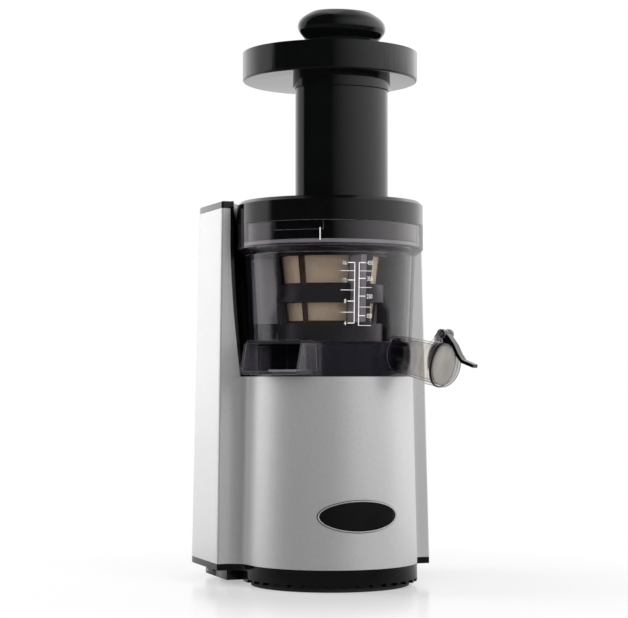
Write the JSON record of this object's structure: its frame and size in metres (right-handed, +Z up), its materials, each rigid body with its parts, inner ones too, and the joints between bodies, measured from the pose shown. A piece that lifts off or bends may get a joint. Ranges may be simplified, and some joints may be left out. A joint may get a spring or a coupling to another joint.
{
  "type": "cold press juicer",
  "caption": "Vertical slow juicer: silver motor tower with rounded drum, smoked bowl with strainer, screw and brush, tap spout, pulp duct, locking lid, feed chute, tray and pusher.",
  "frame": {"origin": "on the bowl's and screw's axis, in the plane of the table under the feet", "axes": "+Z up, -Y out of the front where the drum bulges, +X towards the juice tap's side"},
  "size_m": [0.1584, 0.2012, 0.3962],
  "materials": {
    "silver_plastic": "fine metallic silver paint in the plastic, satin",
    "black_gloss": "glossy black ABS",
    "black_satin": "fine-grained black plastic",
    "smoked_clear": "smoked clear copolyester",
    "clear_tap": "clear copolyester",
    "strainer_amber": "dark amber polyetherimide",
    "mesh": "fine perforated steel mesh in amber light",
    "silicone_grey": "grey silicone",
    "silicone_white": "translucent white silicone",
    "rubber_black": "black rubber",
    "steel": "ground steel",
    "lamination": "stacked laminations with wound coils",
    "sintered": "sintered steel",
    "bronze": "sintered bronze",
    "die_cast": "die-cast aluminium",
    "nylon_grey": "glass-filled nylon",
    "acetal_white": "acetal",
    "board_green": "circuit board with parts",
    "capacitor_white": "plastic can",
    "magnet": "ferrite magnet"
  },
  "bodies": {
    "housing": {"foot_ring": "rubber_black", "rear_feet": "rubber_black", "base_pan": "black_gloss", "base_screws": "steel", "front_shell": "silver_plastic", "rear_shell": "silver_plastic", "cradle_liner": "black_gloss", "tower_cap": "black_gloss", "badge_plate": "black_gloss", "grip_cup": "black_satin", "switch_bezel": "black_gloss", "cord_gland": "rubber_black", "control_board": "board_green", "run_capacitor": "capacitor_white", "interlock_sensor": "black_satin", "motor_mounts": "rubber_black", "motor_lower_bracket": "die_cast", "motor_upper_bracket": "die_cast", "motor_stator": "lamination", "motor_bearings": "steel", "gearbox_lower_case": "nylon_grey", "gearbox_upper_case": "nylon_grey", "gearbox_screws": "steel", "output_bearings": "bronze", "compound_pin": "steel", "shaft_seal": "silicone_grey"},
    "rotor": {"motor_shaft": "steel", "motor_rotor": "lamination", "cooling_fan": "black_satin", "motor_pinion": "sintered"},
    "compound": {"compound_wheel": "acetal_white", "compound_pinion": "sintered"},
    "output": {"output_gear": "sintered", "drive_shaft": "steel"},
    "rocker": {"rocker_switch": "black_satin"},
    "bowl": {"bowl_shell": "smoked_clear", "bowl_seal": "silicone_grey", "pulp_plug": "silicone_grey", "idler_pin": "steel", "strainer_frame": "strainer_amber", "strainer_mesh": "mesh", "tap_collar": "smoked_clear", "tap_pin": "steel"},
    "auger": {"auger": "strainer_amber", "auger_socket": "steel"},
    "idler": {"idler_gear": "acetal_white"},
    "brush": {"brush_frame": "black_satin", "brush_wipers": "silicone_grey"},
    "gasket": {"lid_gasket": "silicone_grey"},
    "lid": {"lid_chute": "black_gloss", "top_bush": "bronze", "interlock_magnet": "magnet"},
    "tray": {"hopper_tray": "black_gloss"},
    "pusher": {"pusher_plunger": "black_satin", "pusher_knob": "black_gloss"},
    "tap": {"tap_cap": "clear_tap", "tap_seal": "silicone_white", "tap_lever": "black_gloss"}
  },
  "joints": [
    {"name": "output_spin", "type": "hinge", "parent": "housing", "child": "output", "pos_m": [0, 0, 0.11], "axis": [0, 0, 1], "continuous": true},
    {"name": "compound_spin", "type": "hinge", "parent": "housing", "child": "compound", "pos_m": [-0.03069, 0.03118, 0.11], "axis": [0, 0, 1], "continuous": true},
    {"name": "motor_spin", "type": "hinge", "parent": "housing", "child": "rotor", "pos_m": [0, 0.05, 0.04], "axis": [0, 0, 1], "continuous": true},
    {"name": "bowl_lift", "type": "slide", "parent": "housing", "child": "bowl", "axis": [0, 0, 1], "range_m": [0, 0.13]},
    {"name": "auger_spin", "type": "hinge", "parent": "bowl", "child": "auger", "pos_m": [0, 0, 0.1678], "axis": [0, 0, 1], "continuous": true},
    {"name": "idler_spin", "type": "hinge", "parent": "bowl", "child": "idler", "pos_m": [0, 0.02375, 0.1684], "axis": [0, 0, 1], "continuous": true},
    {"name": "brush_spin", "type": "hinge", "parent": "bowl", "child": "brush", "pos_m": [0, 0, 0.1678], "axis": [0, 0, 1], "continuous": true},
    {"name": "lid_turn", "type": "hinge", "parent": "bowl", "child": "gasket", "pos_m": [0, 0, 0.2488], "axis": [0, 0, 1], "range_deg": [0, 20]},
    {"name": "lid_lift", "type": "slide", "parent": "gasket", "child": "lid", "axis": [0, 0, 1], "range_m": [0, 0.06]},
    {"name": "tray_lift", "type": "slide", "parent": "lid", "child": "tray", "axis": [0, 0, 1], "range_m": [0, 0.03]},
    {"name": "pusher_lift", "type": "slide", "parent": "tray", "child": "pusher", "axis": [0, 0, 1], "range_m": [0, 0.12]},
    {"name": "tap_swing", "type": "hinge", "parent": "bowl", "child": "tap", "pos_m": [0.05483, -0.07547, 0.17256], "axis": [-0.809, -0.5878, 0], "range_deg": [0, 100]},
    {"name": "rocker_tilt", "type": "hinge", "parent": "housing", "child": "rocker", "pos_m": [0.034, 0.09833, 0.11797], "axis": [1, 0, 0], "range_deg": [-12, 12]}
  ],
  "couplings": [
    {"joint": "compound_spin", "follows": "output_spin", "ratio": -4},
    {"joint": "motor_spin", "follows": "output_spin", "ratio": 20},
    {"joint": "auger_spin", "follows": "output_spin", "ratio": 1},
    {"joint": "idler_spin", "follows": "output_spin", "ratio": -1.7143},
    {"joint": "brush_spin", "follows": "output_spin", "ratio": -0.46154}
  ]
}
